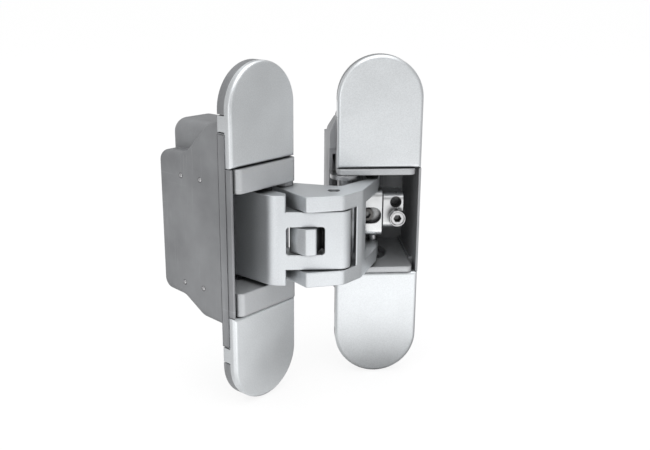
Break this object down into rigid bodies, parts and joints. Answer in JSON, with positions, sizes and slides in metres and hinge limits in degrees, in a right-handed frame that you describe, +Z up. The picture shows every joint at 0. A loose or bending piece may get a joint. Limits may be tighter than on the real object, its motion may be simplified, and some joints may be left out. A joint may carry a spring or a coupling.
{
  "type": "concealed door hinge",
  "caption": "Concealed mortise door hinge, half open: a door leaf and a frame leaf with deep housings, joined by crossing arms whose ends slide inside the leaves.",
  "frame": {"origin": "centre of the frame leaf's seat, on the back of its flange, midway between the fixing screws", "axes": "+Z up along the leaves and the pivot pins, -Y out of the frame leaf's face, +X to the right as seen from the front"},
  "size_m": [0.0912, 0.0637, 0.118],
  "materials": {
    "raw_zinc": "raw die-cast zinc, dull grey, faint rubbed marks",
    "satin_cap": "fine satin silver, even and slightly metallic",
    "satin_block": "satin silver like the caps",
    "satin_arm": "satin silver over cast zinc",
    "slide_plastic": "dark sliding plastic",
    "plated_zinc": "bright plated zinc",
    "plated_screw": "bright plated steel",
    "steel_pin": "ground steel"
  },
  "bodies": {
    "frame_leaf": {"frame_housing": "raw_zinc", "frame_upper_cap": "satin_cap", "frame_lower_cap": "satin_cap", "frame_upper_block": "satin_block", "frame_lower_block": "satin_block", "frame_block_rivets": "steel_pin", "frame_pivot_pin": "steel_pin", "frame_upper_sleeve": "steel_pin", "frame_lower_sleeve": "steel_pin"},
    "inner_arm": {"inner_arm": "satin_arm", "inner_slide_pin": "steel_pin", "inner_upper_shoe": "slide_plastic", "inner_lower_shoe": "slide_plastic"},
    "outer_arm": {"outer_arm": "satin_arm", "centre_pin": "steel_pin", "centre_finger": "satin_arm", "outer_slide_pin": "steel_pin", "outer_upper_shoe": "slide_plastic", "outer_lower_shoe": "slide_plastic"},
    "door_leaf": {"door_housing": "raw_zinc", "door_upper_cap": "satin_cap", "door_lower_cap": "satin_cap", "door_upper_block": "satin_block", "door_lower_block": "satin_block", "door_block_rivets": "steel_pin", "door_pivot_pin": "steel_pin", "door_upper_washer": "steel_pin", "door_lower_washer": "steel_pin"},
    "carriage": {"adjuster_carriage": "plated_zinc", "clamp_block": "plated_zinc", "clamp_screw": "plated_screw", "side_screw": "plated_screw"}
  },
  "joints": [
    {"name": "frame_pivot", "type": "hinge", "parent": "frame_leaf", "child": "inner_arm", "pos_m": [-0.012, -0.0028, 0], "axis": [0, 0, -1], "range_deg": [-90, 30]},
    {"name": "centre_pivot", "type": "hinge", "parent": "inner_arm", "child": "outer_arm", "pos_m": [-0.0175, -0.0212, 0], "axis": [0, 0, -1], "range_deg": [-15, 45]},
    {"name": "door_pivot", "type": "hinge", "parent": "outer_arm", "child": "door_leaf", "pos_m": [-0.0344, -0.01208, 0], "axis": [0, 0, -1], "range_deg": [-90, 30]},
    {"name": "carriage_pivot", "type": "hinge", "parent": "outer_arm", "child": "carriage", "pos_m": [-0.00049, 0.0062, 0], "axis": [0, 0, -1], "range_deg": [-15, 45]}
  ],
  "couplings": [
    {"joint": "centre_pivot", "follows": "frame_pivot", "ratio": -0.5},
    {"joint": "door_pivot", "follows": "frame_pivot", "ratio": 1},
    {"joint": "carriage_pivot", "follows": "frame_pivot", "ratio": -0.5}
  ]
}
